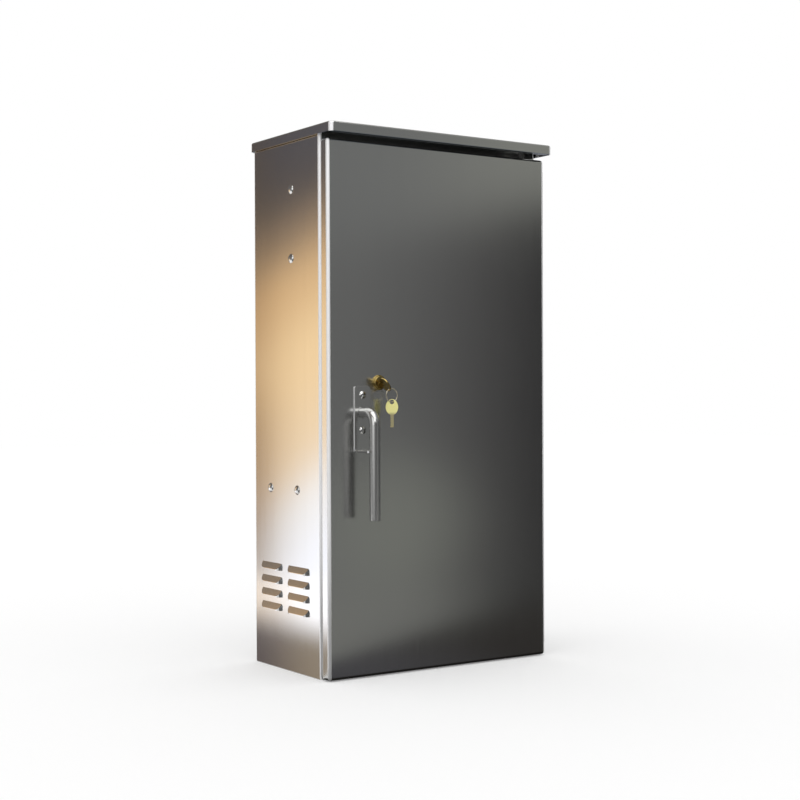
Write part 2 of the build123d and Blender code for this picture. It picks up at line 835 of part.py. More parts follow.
# Filters: a tray against each wall behind the louvres, and the pad that it holds
filter_half_length = louvre_column_pitch / 2 + louvre_length / 2 + filter_margin
filter_low = louvre_low - filter_margin
filter_high = louvre_low + (louvre_rows - 1) * louvre_row_pitch + louvre_height + filter_margin
filter_front = louvre_middle_y - filter_half_length
filter_back = louvre_middle_y + filter_half_length


def wall_block(side, near, far, inset, mode=Mode.ADD):
    """A block on one wall, between two distances in from it, inset from the filter's outline."""
    low_x, high_x = sorted((side * (inner_x - near), side * (inner_x - far)))
    block((low_x, filter_front + inset, filter_low + inset),
          (high_x, filter_back - inset, filter_high - inset), mode=mode)


def filter_frame(side):
    """The tray on one wall, with a lip that keeps the pad in."""
    with BuildPart() as frame:
        wall_block(side, 0, filter_depth, 0)
        wall_block(side, 0, filter_depth - sheet, sheet, mode=Mode.SUBTRACT)
        wall_block(side, 0, filter_depth, sheet + filter_lip, mode=Mode.SUBTRACT)
    return frame.part


def filter_pad(side):
    """The pad inside one tray."""
    with BuildPart() as pad:
        wall_block(side, filter_clearance, filter_depth - sheet - filter_clearance, sheet + filter_clearance)
    return pad.part


filter_frame_left = filter_frame(-1)
filter_frame_right = filter_frame(1)
filter_pad_left = filter_pad(-1)
filter_pad_right = filter_pad(1)

# Ground stud on the floor, with two nuts to clamp a lead
with BuildPart() as ground_stud:
    bar((ground_x, ground_y, sheet), (0, 0, 1), ground_height, ground_radius)

ground_nut = hex_nut(ground_nut_flats, ground_nut_height, ground_radius + running_fit)
ground_nuts = placed(ground_nut, [
    Plane((ground_x, ground_y, sheet + index * (ground_nut_height + ground_nut_gap))) for index in range(2)
])

# Handle plate: the flat under the handle, its lower edge bent out as a padlock tab with a prong
with BuildPart() as handle_plate:
    tab_z = handle_z - plate_fall + plate_sheet / 2
    plate_left = handle_x - plate_width / 2
    plate_right = handle_x + plate_width / 2
    with BuildSketch(Plane.YZ.offset(handle_x)):
        with BuildLine():
            FilletPolyline(
                (door_face - plate_sheet / 2, handle_z + plate_rise),
                (door_face - plate_sheet / 2, tab_z),
                (door_face - prong_reach, tab_z),
                radius=plate_bend_inside + plate_sheet / 2,
            )
        trace(line_width=plate_sheet)
    extrude(amount=plate_width / 2, both=True)
    block((plate_left + prong_width, door_face - prong_reach - overrun, tab_z - plate_sheet),
          (plate_right + overrun, door_face - tab_reach, tab_z + plate_sheet), mode=Mode.SUBTRACT)
    fillet(handle_plate.edges().filter_by(Axis.Y).group_by(Axis.Z)[-1], plate_corner)
    tab_ends = handle_plate.edges().filter_by(Axis.Z).group_by(Axis.Y)
    fillet(tab_ends[0], prong_round)
    with BuildSketch(front_plane(door_face)):
        with Locations((handle_x, handle_z)):
            Circle(shaft_radius + running_fit + bush_wall + bolt_fit)
        for end in sides:
            with Locations((handle_x, handle_z + end * plate_bolt_pitch / 2)):
                Circle(plate_bolt_radius + bolt_fit)
    extrude(amount=plate_sheet, mode=Mode.SUBTRACT)
    bar((handle_x, door_face - padlock_out, tab_z - plate_sheet), (0, 0, 1), 2 * plate_sheet,
        padlock_radius, mode=Mode.SUBTRACT)

plate_bolt = dome_bolt(
    plate_bolt_head_radius, plate_bolt_head_height, plate_bolt_radius,
    plate_sheet + sheet + plate_bolt_spare,
)
plate_bolt_zs = [handle_z + end * plate_bolt_pitch / 2 for end in sides]
handle_plate_bolts = placed(plate_bolt, [
    Plane((handle_x, plate_face, z), z_dir=(0, -1, 0)) for z in plate_bolt_zs
])
plate_nut = hex_nut(plate_nut_flats, plate_nut_height, plate_bolt_radius + running_fit)
handle_plate_nuts = placed(plate_nut, [
    Plane((handle_x, door_inside, z), z_dir=(0, 1, 0)) for z in plate_bolt_zs
])

# Handle bush: a flanged sleeve through plate and door
with BuildPart() as handle_bush:
    bar((handle_x, plate_face, handle_z), (0, 1, 0), plate_sheet + sheet,
        shaft_radius + running_fit + bush_wall)
    bar((handle_x, door_inside, handle_z), (0, 1, 0), bush_flange, bush_flange_radius)
    bush_length = plate_sheet + sheet + bush_flange
    bar((handle_x, plate_face - overrun, handle_z), (0, 1, 0), bush_length + 2 * overrun,
        shaft_radius + running_fit, mode=Mode.SUBTRACT)

# Handle bar: out from the plate, round its bend and down, with a turned shaft behind
with BuildPart() as handle_bar:
    shoulder = plate_face - handle_shoulder_gap
    bar_y = door_face - handle_standoff
    with BuildLine(Plane.YZ.offset(handle_x)):
        FilletPolyline(
            (shoulder, handle_z), (bar_y, handle_z), (bar_y, handle_z - handle_drop), radius=handle_bend
        )
    with BuildSketch(Plane((handle_x, shoulder, handle_z), z_dir=(0, -1, 0))):
        Circle(handle_radius)
    sweep()
    fillet(handle_bar.edges().group_by(Axis.Z)[0], handle_end_round)
    bar((handle_x, shoulder, handle_z), (0, 1, 0), cam_front - shoulder, shaft_radius)
    with BuildSketch(front_plane(cam_rear)):
        with Locations((handle_x, handle_z)):
            Rectangle(shaft_square, shaft_square)
    extrude(amount=cam_sheet)
    bar((handle_x, cam_rear, handle_z), (0, 1, 0), shaft_thread_length, shaft_thread_radius)

# Latch cam, its two drive pins and its nut
cam_pin_angles = (radians(cam_rest_angle), radians(cam_rest_angle) + pi)
cam_pin_places = [
    (handle_x + cam_pin_circle * cos(angle), handle_z + cam_pin_circle * sin(angle))
    for angle in cam_pin_angles
]

with BuildPart() as latch_cam:
    with BuildSketch(front_plane(cam_rear)):
        with Locations((handle_x, handle_z)):
            SlotCenterToCenter(2 * cam_pin_circle, 2 * cam_half_width, rotation=cam_rest_angle)
            Circle(cam_hub_radius)
            Rectangle(shaft_square + 2 * running_fit, shaft_square + 2 * running_fit, mode=Mode.SUBTRACT)
        with Locations(*cam_pin_places):
            Circle(cam_pin_radius + running_fit, mode=Mode.SUBTRACT)
    extrude(amount=cam_sheet)

with BuildPart() as cam_pins:
    pin_end = rod_rear + cam_pin_end_gap
    for x, z in cam_pin_places:
        bar((x, cam_front, z), (0, 1, 0), pin_end - cam_front, cam_pin_radius)
        bar((x, pin_end, z), (0, 1, 0), cam_pin_head, cam_pin_head_radius)

cam_nut = placed(
    hex_nut(cam_nut_flats, cam_nut_height, shaft_thread_radius + running_fit),
    [Plane((handle_x, cam_rear, handle_z), z_dir=(0, 1, 0))],
)


# Latch rods: end is 1 for the upper rod and -1 for the lower one
def rod_x(end):
    """The rod's place across the door, beside the shaft."""
    return handle_x - end * rod_offset


def axle_z(end):
    """The height of the rod's roller axle."""
    return axle_high if end > 0 else axle_low


def latch_rod(end):
    """A flat rod with a cross slot for its cam pin and a fork for its roller."""
    slot_z = handle_z + end * pin_rise
    slot_radius = cam_pin_radius + rod_slot_clearance
    near = slot_z - end * (slot_radius + rod_end_margin)
    far = axle_z(end) + end * prong_beyond_axle
    fork_near = axle_z(end) - end * (roller_radius + roller_end_gap)
    with BuildPart() as rod:
        with BuildSketch(front_plane(rod_rear)):
            with Locations((rod_x(end), (near + far) / 2)):
                Rectangle(rod_width, abs(far - near))
            with Locations((rod_x(end), slot_z)):
                SlotCenterToCenter(2 * rod_slot_half, 2 * slot_radius, mode=Mode.SUBTRACT)
            with Locations((rod_x(end), (fork_near + far) / 2)):
                Rectangle(roller_width + 2 * roller_side_gap, abs(far - fork_near), mode=Mode.SUBTRACT)
        extrude(amount=rod_thickness)
        bar((rod_x(end) - rod_width, rod_middle_y, axle_z(end)), (1, 0, 0), 2 * rod_width,
            roller_axle_radius + running_fit, mode=Mode.SUBTRACT)
    return rod.part


def roller_axle(end):
    """The pin across the fork."""
    with BuildPart() as axle:
        start = (rod_x(end) - rod_width / 2, rod_middle_y, axle_z(end))
        bar(start, (1, 0, 0), rod_width, roller_axle_radius)
    return axle.part


def latch_roller(end):
    """The roller in the fork."""
    with BuildPart() as roller:
        start = (rod_x(end) - roller_width / 2, rod_middle_y, axle_z(end))
        bar(start, (1, 0, 0), roller_width, roller_radius)
        chamfer(roller.edges(), roller_chamfer)
        bar(start, (1, 0, 0), roller_width, roller_axle_radius + running_fit, mode=Mode.SUBTRACT)
    return roller.part


def rod_guide(end):
    """An angle on the door with a window that the rod runs through."""
    guide_z = axle_z(end) - end * guide_end_gap
    reach = rod_rear + guide_beyond_rod
    with BuildPart() as guide:
        with BuildSketch(Plane.YZ.offset(rod_x(end))):
            with BuildLine():
                FilletPolyline(
                    (door_inside + guide_sheet / 2, guide_z - end * guide_foot),
                    (door_inside + guide_sheet / 2, guide_z),
                    (reach, guide_z),
                    radius=bracket_bend,
                )
            trace(line_width=guide_sheet)
        extrude(amount=guide_width / 2, both=True)
        window_half = rod_width / 2 + guide_clearance
        block((rod_x(end) - window_half, rod_front - guide_clearance, guide_z - guide_sheet),
              (rod_x(end) + window_half, rod_rear + guide_clearance, guide_z + guide_sheet),
              mode=Mode.SUBTRACT)
    return guide.part


latch_rod_upper = latch_rod(1)
latch_rod_lower = latch_rod(-1)
roller_axle_upper = roller_axle(1)
roller_axle_lower = roller_axle(-1)
latch_roller_upper = latch_roller(1)
latch_roller_lower = latch_roller(-1)
rod_guide_upper = rod_guide(1)
rod_guide_lower = rod_guide(-1)

# Lock body: flange and boss outside, barrel through the door
with BuildPart() as lock_body:
    bar((lock_x, lock_face, lock_z), (0, 1, 0), lock_boss, lock_boss_radius)
    bar((lock_x, door_face - lock_flange, lock_z), (0, 1, 0), lock_flange, lock_flange_radius)
    rims = lock_body.edges().filter_by(GeomType.CIRCLE).sort_by(Axis.Y)
    flange_rims = rims.filter_by(lambda rim: rim.radius > lock_boss_radius)
    fillet([rims[0], flange_rims[0]], lock_round)
    bar((lock_x, door_face, lock_z), (0, 1, 0), lock_barrel_length, lock_barrel_radius)
    bar((lock_x, lock_face - overrun, plug_z), (0, 1, 0), lock_boss + lock_barrel_length + 2 * overrun,
        plug_radius + running_fit, mode=Mode.SUBTRACT)

lock_nut = placed(
    hex_nut(lock_nut_flats, lock_nut_height, lock_barrel_radius + running_fit),
    [Plane((lock_x, door_inside, lock_z), z_dir=(0, 1, 0))],
)

# The keyway and the key in it lie in one plane: along is the key's blade, across is the key's width
key_plane = Plane((lock_x, key_shoulder, plug_z), x_dir=(0, 1, 0), z_dir=Vector(0, 1, 0).cross(key_side))

with BuildPart() as lock_plug:
    plug_front = lock_face - plug_proud
    bar((lock_x, plug_front, plug_z), (0, 1, 0), lock_cam_front - plug_front, plug_radius)
    bar((lock_x, lock_cam_front, plug_z), (0, 1, 0), lock_cam_sheet, plug_tail_radius)
    with BuildSketch(key_plane):
        Rectangle(2 * (key_blade_length + key_shoulder_gap), keyway_height)
    extrude(amount=keyway_width / 2, both=True, mode=Mode.SUBTRACT)

with BuildPart() as lock_cam:
    with BuildSketch(front_plane(lock_cam_rear)):
        with Locations((lock_x, plug_z)):
            Circle(lock_cam_half_width)
            Circle(plug_tail_radius + running_fit, mode=Mode.SUBTRACT)
        with Locations((lock_x, plug_z + (lock_cam_length + plug_tail_radius) / 2 + running_fit)):
            Rectangle(lock_cam_half_width, lock_cam_length - plug_tail_radius)
    extrude(amount=lock_cam_sheet)

with BuildPart() as lock_cam_screw:
    bar((lock_x, lock_cam_rear, plug_z), (0, 1, 0), lock_cam_screw_head, lock_cam_screw_radius)


def flat_key(plane, thickness, blade, bow, bow_middle, hole, hole_radius):
    """A flat key in a plane: the shoulder is at the plane's origin and the blade runs along its x."""
    blade_length, blade_width = blade
    with BuildPart() as key:
        with BuildSketch(plane):
            with Locations((blade_length / 2 - bow_middle / 2, 0)):
                Rectangle(blade_length + bow_middle, blade_width)
            for index, depth_share in enumerate(bitting_shares):
                notch_x = blade_length * (index + 1) / (len(bitting_shares) + 1)
                notch_half = blade_length / (len(bitting_shares) + 1) / 2
                edge = blade_width / 2
                depth = blade_width * bitting_depth_share * depth_share
                with BuildLine():
                    Polyline((notch_x - notch_half, -edge), (notch_x, -edge + depth),
                             (notch_x + notch_half, -edge), close=True)
                make_face(mode=Mode.SUBTRACT)
            with Locations((-bow_middle, 0)):
                Ellipse(*bow)
            with Locations(hole):
                Circle(hole_radius, mode=Mode.SUBTRACT)
        extrude(amount=thickness / 2, both=True)
    return key.part


lock_key = flat_key(
    key_plane, key_sheet, (key_blade_length, key_blade_width), (key_bow_half_length, key_bow_half_width),
    key_bow_middle, (-key_hole_out, key_hole_side), key_hole_radius,
)

# Ring through the key's bow, and the spare key that hangs from it, turned towards the left front
with BuildPart() as key_ring:
    with Locations(Plane(ring_middle, z_dir=(0, 1, 0))):
        Torus(ring_radius, ring_wire_radius)

spare_normal = Vector(-sin(radians(spare_turn)), -cos(radians(spare_turn)), 0)
spare_plane = Plane(spare_hole - Vector(0, 0, spare_hole_out), x_dir=(0, 0, -1), z_dir=spare_normal)
spare_key = flat_key(
    spare_plane, spare_sheet, (spare_blade_length, spare_blade_width),
    (spare_bow_half_length, spare_bow_half_width), spare_bow_middle, (-spare_hole_out, 0), spare_hole_radius,
)

pieces = {
    "body_shell": body_shell.part,
    "floor_pan": floor_pan.part,
    "gland_plate": gland_plate.part,
    "gland_screws": gland_screws,
    "door_header": door_header.part,
    "roof_canopy": roof_canopy.part,
    "side_bolts": side_bolts,
    "side_nuts": side_nuts,
    "rail_bracket_left": rail_bracket_left,
    "rail_bracket_right": rail_bracket_right,
    "cross_rail": cross_rail.part,
    "rail_screws": rail_screws,
    "shelf_bracket_left": shelf_bracket_left,
    "shelf_bracket_right": shelf_bracket_right,
    "equipment_shelf": equipment_shelf.part,
    "shelf_screws": shelf_screws,
    "mounting_panel": mounting_panel.part,
    "panel_studs": panel_studs.part,
    "panel_nuts": panel_nuts,
    "filter_frame_left": filter_frame_left,
    "filter_frame_right": filter_frame_right,
    "filter_pad_left": filter_pad_left,
    "filter_pad_right": filter_pad_right,
    "ground_stud": ground_stud.part,
    "ground_nuts": ground_nuts,
    "hinge_leaf_body": hinge_leaf_body,
    "hinge_pin": hinge_pin.part,
    "hinge_rivets_body": hinge_rivets_body,
    "door_pan": door_pan.part,
    "door_stiffener": door_stiffener.part,
    "door_seal": door_seal.part,
    "hinge_leaf_door": hinge_leaf_door,
    "hinge_rivets_door": hinge_rivets_door,
    "handle_plate": handle_plate.part,
    "handle_plate_bolts": handle_plate_bolts,
    "handle_plate_nuts": handle_plate_nuts,
    "handle_bush": handle_bush.part,
    "rod_guide_upper": rod_guide_upper,
    "rod_guide_lower": rod_guide_lower,
    "lock_body": lock_body.part,
    "lock_nut": lock_nut,
    "handle_bar": handle_bar.part,
    "latch_cam": latch_cam.part,
    "cam_pins": cam_pins.part,
    "cam_nut": cam_nut,
    "latch_rod_upper": latch_rod_upper,
    "roller_axle_upper": roller_axle_upper,
    "latch_roller_upper": latch_roller_upper,
    "latch_rod_lower": latch_rod_lower,
    "roller_axle_lower": roller_axle_lower,
    "latch_roller_lower": latch_roller_lower,
    "lock_plug": lock_plug.part,
    "lock_cam": lock_cam.part,
    "lock_cam_screw": lock_cam_screw.part,
    "lock_key": lock_key,
    "key_ring": key_ring.part,
    "spare_key": spare_key,
}

os.makedirs("parts", exist_ok=True)
for name, piece in pieces.items():
    piece.label = name
    export_step(piece, f"parts/{name}.step")
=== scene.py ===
"""Looks of a stainless roadside utility cabinet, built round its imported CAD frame."""

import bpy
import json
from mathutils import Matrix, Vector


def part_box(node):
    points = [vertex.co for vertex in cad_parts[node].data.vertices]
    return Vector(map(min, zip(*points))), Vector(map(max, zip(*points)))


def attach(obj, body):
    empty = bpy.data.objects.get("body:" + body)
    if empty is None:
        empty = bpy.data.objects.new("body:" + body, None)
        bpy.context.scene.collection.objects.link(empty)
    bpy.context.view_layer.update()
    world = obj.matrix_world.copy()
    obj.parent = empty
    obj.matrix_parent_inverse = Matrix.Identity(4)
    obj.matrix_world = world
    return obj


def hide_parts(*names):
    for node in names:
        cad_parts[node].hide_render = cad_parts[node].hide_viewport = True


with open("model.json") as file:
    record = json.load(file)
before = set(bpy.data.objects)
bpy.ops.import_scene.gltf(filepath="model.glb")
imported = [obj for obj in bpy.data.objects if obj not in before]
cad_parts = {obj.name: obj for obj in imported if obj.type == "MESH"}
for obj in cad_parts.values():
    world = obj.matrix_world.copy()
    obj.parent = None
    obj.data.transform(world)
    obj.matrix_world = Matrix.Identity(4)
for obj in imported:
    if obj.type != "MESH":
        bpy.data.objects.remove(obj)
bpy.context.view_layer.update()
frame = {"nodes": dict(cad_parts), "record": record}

import json
import logging
import math
from dataclasses import dataclass
from enum import Enum
from typing import Any, Dict, Optional, Sequence, Tuple, Union

import bmesh
import bpy
from mathutils import Matrix, Vector

Colour = Tuple[float, float, float]
Point = Tuple[float, float, float]
Span = Tuple[float, float]
Stops = Sequence[Tuple[float, Colour]]

log = logging.getLogger("cabinet")


class Wire:
    """One output of a shader node, on which arithmetic adds Math nodes."""

    def __init__(self, graph: "Graph", socket: Optional[bpy.types.NodeSocket]) -> None:
        """Wraps a socket of a graph.

        Args:
            graph: The graph that new nodes are added to.
            socket: The output that this wire carries, or None after an output node.
        """
        self.graph = graph
        self.socket = socket

    def _math(self, operation: str, left: "Feed", right: "Feed") -> "Wire":
        """Adds a Math node.

        Args:
            operation: The node's operation.
            left: Its first value.
            right: Its second value.

        Returns:
            The node's output.
        """
        return self.graph.node("ShaderNodeMath", {"operation": operation}, {0: left, 1: right})

    def __add__(self, other: "Feed") -> "Wire":
        """This value plus another."""
        return self._math("ADD", self, other)

    def __radd__(self, other: "Feed") -> "Wire":
        """Another value plus this one."""
        return self._math("ADD", other, self)

    def __sub__(self, other: "Feed") -> "Wire":
        """This value less another."""
        return self._math("SUBTRACT", self, other)

    def __rsub__(self, other: "Feed") -> "Wire":
        """Another value less this one."""
        return self._math("SUBTRACT", other, self)

    def __mul__(self, other: "Feed") -> "Wire":
        """This value times another."""
        return self._math("MULTIPLY", self, other)

    def __rmul__(self, other: "Feed") -> "Wire":
        """Another value times this one."""
        return self._math("MULTIPLY", other, self)

    def __truediv__(self, other: "Feed") -> "Wire":
        """This value divided by another."""
        return self._math("DIVIDE", self, other)

    def __rtruediv__(self, other: "Feed") -> "Wire":
        """Another value divided by this one."""
        return self._math("DIVIDE", other, self)

    def __pow__(self, other: "Feed") -> "Wire":
        """This value to a power."""
        return self._math("POWER", self, other)

    def larger(self, other: "Feed") -> "Wire":
        """The larger of this value and another."""
        return self._math("MAXIMUM", self, other)

    def size(self) -> "Wire":
        """This value without its sign."""
        return self._math("ABSOLUTE", self, 0.0)

    def sine(self) -> "Wire":
        """The sine of this value."""
        return self._math("SINE", self, 0.0)


Feed = Union[Wire, float, Sequence[float]]


class Graph:
    """A node tree that is filled through one method."""

    def __init__(self, tree: bpy.types.NodeTree) -> None:
        """Starts from an empty tree.

        Args:
            tree: The tree of a material or of the world.
        """
        self.tree = tree
        tree.nodes.clear()

    def node(self, kind: str, settings: Optional[Dict[str, Any]] = None,
             feeds: Optional[Dict[Union[int, str], Feed]] = None,
             output: Union[int, str] = 0) -> Wire:
        """Adds a node, sets it up and feeds its sockets.

        Args:
            kind: The node's type.
            settings: Its properties; "stops" gives a colour ramp's places and colours.
            feeds: A wire or a value for each socket that isn't left as it is.
            output: The output to carry on from.

        Returns:
            That output.
        """
        made = self.tree.nodes.new(kind)
        for key, value in (settings or {}).items():
            if key == "stops":
                elements = made.color_ramp.elements
                while len(elements) < len(value):
                    elements.new(1.0)
                for element, (place, colour) in zip(elements, value):
                    element.position = place
                    element.color = (*colour, 1.0)
            else:
                setattr(made, key, value)
        for key, feed in (feeds or {}).items():
            if isinstance(feed, Wire):
                self.tree.links.new(feed.socket, made.inputs[key])
            elif isinstance(feed, (int, float)):
                made.inputs[key].default_value = feed
            else:
                size = len(made.inputs[key].default_value)
                made.inputs[key].default_value = (*feed, 1.0)[:size]
        return Wire(self, made.outputs[output] if made.outputs else None)

    def axes(self) -> Tuple[Wire, Wire, Wire]:
        """The piece's own X, Y and Z.

        Returns:
            One wire for each axis, in metres.
        """
        coords = self.node("ShaderNodeTexCoord", output="Object")
        split = self.node("ShaderNodeSeparateXYZ", feeds={0: coords}).socket.node
        return tuple(Wire(self, split.outputs[axis]) for axis in range(3))

    def noise(self, waves: Point, detail: float) -> Wire:
        """A noise on the piece's own coordinates.

        Args:
            waves: Waves to the metre along each axis.
            detail: How many finer layers are added.

        Returns:
            A value about one half.
        """
        coords = self.node("ShaderNodeTexCoord", output="Object")
        mapped = self.node("ShaderNodeMapping", feeds={"Vector": coords, "Scale": waves})
        return self.node("ShaderNodeTexNoise",
                         feeds={"Vector": mapped, "Scale": 1.0, "Detail": detail})

    def ramp(self, value: Feed, stops: Stops, ease: bool) -> Wire:
        """A colour that follows a value.

        Args:
            value: The value, from 0 to 1.
            stops: Places and colours.
            ease: Whether the colours flow smoothly into each other.

        Returns:
            The colour.
        """
        made = self.node("ShaderNodeValToRGB", {"stops": stops}, {0: value})
        made.socket.node.color_ramp.interpolation = "EASE" if ease else "LINEAR"
        return made

    def fade(self, value: Feed, low: float, high: float) -> Wire:
        """A smooth step from 0 at one value to 1 at another.

        Args:
            value: What is compared.
            low: Where the step starts.
            high: Where it ends.

        Returns:
            The step, from 0 to 1.
        """
        return self.node("ShaderNodeMapRange", {"interpolation_type": "SMOOTHSTEP"},
                         {0: value, 1: low, 2: high, 3: 0.0, 4: 1.0})

    def mix(self, share: Feed, first: Feed, second: Feed, blend: str = "MIX") -> Wire:
        """A colour between two others.

        Args:
            share: 0 for the first and 1 for the second.
            first: A colour.
            second: Another colour.
            blend: How the second colour is laid over the first.

        Returns:
            The mixed colour.
        """
        return self.node("ShaderNodeMix", {"data_type": "RGBA", "blend_type": blend},
                         {0: share, 6: first, 7: second}, 2)

    def bump(self, height: Feed, distance: float, strength: float) -> Wire:
        """A normal that follows a height.

        Args:
            height: The height, from 0 to 1.
            distance: What a height of 1 stands for, in metres.
            strength: The share of it that shows.

        Returns:
            The normal.
        """
        return self.node("ShaderNodeBump", feeds={
            "Height": height, "Distance": distance, "Strength": strength})


class Grain(Enum):
    """The way that a sheet's rolling grain runs, as waves to the metre along each axis."""

    UPRIGHT = (820.0, 820.0, 9.0)
    ACROSS = (9.0, 820.0, 820.0)
    EVEN = (520.0, 520.0, 520.0)


NOISE_MIDDLE = 0.5


@dataclass(frozen=True)
class SteelFinish:
    """A bare metal finish with grain, faint banding and handling marks."""

    name: str
    tint: Colour
    roughness: float
    grain: Grain
    contrast: float = 0.10
    mottle: float = 0.05
    relief: float = 0.00002
    metal: float = 1.0
    grain_detail: float = 3.0
    grain_roughness: float = 0.5
    band_size: float = 14.0
    band_detail: float = 2.0
    cloud_waves: Point = (5.0, 5.0, 4.0)
    cloud_detail: float = 4.0
    tint_range: float = 0.20
    bump_strength: float = 0.5

    def tone(self, graph: Graph, colour: Wire) -> Wire:
        """Changes the colour over the piece; a plain piece keeps it."""
        return colour

    def height(self, graph: Graph, streak: Wire) -> Wire:
        """Gives the surface's height.

        Args:
            graph: The finish's graph.
            streak: The grain.

        Returns:
            The height, from 0 to 1.
        """
        return streak

    def fold_highlight(self, graph: Graph, colour: Wire, rough: Wire) -> Tuple[Wire, Wire, Feed]:
        """Paints a highlight where the sheet is folded and changes its roughness there; a plain
        piece has no folds.

        Args:
            graph: The finish's graph.
            colour: The colour between the folds.
            rough: The roughness between the folds.

        Returns:
            The colour, the roughness and how metallic the surface is.
        """
        return colour, rough, self.metal

    def material(self) -> bpy.types.Material:
        """Makes the finish.

        Returns:
            The material.
        """
        made = bpy.data.materials.new(self.name)
        made.use_nodes = True
        graph = Graph(made.node_tree)
        streak = graph.noise(self.grain.value, self.grain_detail)
        band = graph.noise(tuple(wave / self.band_size for wave in self.grain.value),
                           self.band_detail)
        cloud = graph.noise(self.cloud_waves, self.cloud_detail)
        grain = streak - NOISE_MIDDLE
        marks = (cloud - NOISE_MIDDLE) * self.mottle
        shade = grain * self.contrast + (band - NOISE_MIDDLE) * self.contrast + marks
        dark = tuple(part * (1.0 - self.tint_range) for part in self.tint)
        light = tuple(min(part * (1.0 + self.tint_range), 1.0) for part in self.tint)
        colour = self.tone(graph, graph.mix(shade + NOISE_MIDDLE, dark, light))
        rough = self.roughness + grain * (self.roughness * self.grain_roughness) + marks
        # Painted highlight on the folds, where a finish has them.
        colour, rough, metal = self.fold_highlight(graph, colour, rough)
        normal = graph.bump(self.height(graph, streak), self.relief, self.bump_strength)
        shader = graph.node("ShaderNodeBsdfPrincipled", feeds={
            "Base Color": colour, "Metallic": metal, "Roughness": rough, "Normal": normal})
        graph.node("ShaderNodeOutputMaterial", feeds={0: shader})
        return made


@dataclass(frozen=True)
class FoldedFinish(SteelFinish):
    """A sheet finish with a painted highlight along its upright folds, paler and less metallic
    there, and rougher where the sheet was stretched.
    """

    low: Span = (0.0, 0.0)
    high: Span = (0.0, 0.0)
    reach: float = 0.0055
    core: float = 0.75
    rim: float = 1.15
    # Below this height the painted fold highlight fades to a share of its strength.
    highlight_fade_below: float = -1.0
    highlight_fade_rise: float = 0.28
    highlight_fade_share: float = 0.5
    # Painted highlight: the folds are tinted pale and lose metal, so they look lit.
    fold_highlight_tint: Colour = (0.92, 0.92, 0.93)
    fold_roughness: float = 0.42
    fold_highlight_metal_loss: float = 0.62

    def folds(self, graph: Graph) -> Wire:
        """Where two upright outer faces meet, from 0 to 1: the mask of the painted fold highlight,
        weaker near the ground.
        """
        x, y, z = graph.axes()
        gap_x, gap_y = ((high - low) / 2.0 - (place - (low + high) / 2.0).size()
                        for place, low, high in zip((x, y), self.low, self.high))
        away = (gap_x * gap_x + gap_y * gap_y) ** 0.5
        near = 1.0 - graph.fade(away, self.reach * self.core, self.reach * self.rim)
        # The painted highlight is weaker near the ground.
        highlight_above_ground = graph.fade(z, self.highlight_fade_below, self.highlight_fade_below + self.highlight_fade_rise)
        return near * (highlight_above_ground * self.highlight_fade_share + (1.0 - self.highlight_fade_share))

    def fold_highlight(self, graph: Graph, colour: Wire, rough: Wire) -> Tuple[Wire, Wire, Feed]:
        """Paints a highlight on the folds, paler and less metallic, and makes them rougher.

        Args:
            graph: The finish's graph.
            colour: The colour between the folds.
            rough: The roughness between the folds.

        Returns:
            The colour, the roughness and how metallic the surface is.
        """
        fold_highlight = self.folds(graph)
        # Painted highlight along the folds: pale tint and less metal; the roughness rises there
        # too.
        return (graph.mix(fold_highlight, colour, self.fold_highlight_tint),
                rough + (self.fold_roughness - rough) * fold_highlight,
                self.metal - fold_highlight * self.fold_highlight_metal_loss)


@dataclass(frozen=True)
class CutEdgeFinish(FoldedFinish):
    """A folded sheet finish with painted shade on the cut edge along the bottom."""

    cut: float = 0.0
    cut_blend: float = 0.0006
    # Painted shade: the colour that darkens the bottom cut edge.
    edge: Colour = (0.34, 0.39, 0.48)

    def tone(self, graph: Graph, colour: Wire) -> Wire:
        """Paints shade on the cut edge."""
        _, _, z = graph.axes()
        return graph.mix(graph.fade(z, self.cut, self.cut + self.cut_blend), self.edge, colour)


@dataclass(frozen=True)
class KeyFinish(SteelFinish):
    """Key brass that is paler on the bow and darker on the blade."""

    blade_top: float = 0.0
    bow_low: float = 0.0
    blade: Colour = (0.37, 0.325, 0.17)

    def tone(self, graph: Graph, colour: Wire) -> Wire:
        """Darkens the blade."""
        _, _, z = graph.axes()
        return graph.mix(graph.fade(z, self.blade_top, self.bow_low), self.blade, colour)


@dataclass(frozen=True)
class ThreadFinish(SteelFinish):
    """A metal finish with a screw thread cut along one axis."""

    axis: int = 2
    pitch: float = 0.00125

    def height(self, graph: Graph, streak: Wire) -> Wire:
        """The thread's ridges and roots."""
        return (graph.axes()[self.axis] * (2.0 * math.pi / self.pitch)).sine() * 0.5 + 0.5


@dataclass(frozen=True)
class DullFinish:
    """A finish that isn't metal: rubber, felt or nylon."""

    name: str
    low: Colour
    high: Colour
    roughness: float
    waves: Point
    relief: float
    pore_detail: float = 4.0
    pore_share: float = 0.7
    cloud_waves: Point = (9.0, 9.0, 9.0)
    cloud_detail: float = 2.0
    roughness_range: float = 0.15
    bump_strength: float = 0.7

    def material(self) -> bpy.types.Material:
        """Makes the finish.

        Returns:
            The material.
        """
        made = bpy.data.materials.new(self.name)
        made.use_nodes = True
        graph = Graph(made.node_tree)
        pore = graph.noise(self.waves, self.pore_detail)
        cloud = graph.noise(self.cloud_waves, self.cloud_detail)
        share = pore * self.pore_share + cloud * (1.0 - self.pore_share)
        rough = self.roughness + (pore - NOISE_MIDDLE) * self.roughness_range
        shader = graph.node("ShaderNodeBsdfPrincipled", feeds={
            "Base Color": graph.mix(share, self.low, self.high), "Roughness": rough,
            "Normal": graph.bump(pore, self.relief, self.bump_strength)})
        graph.node("ShaderNodeOutputMaterial", feeds={0: shader})
        return made


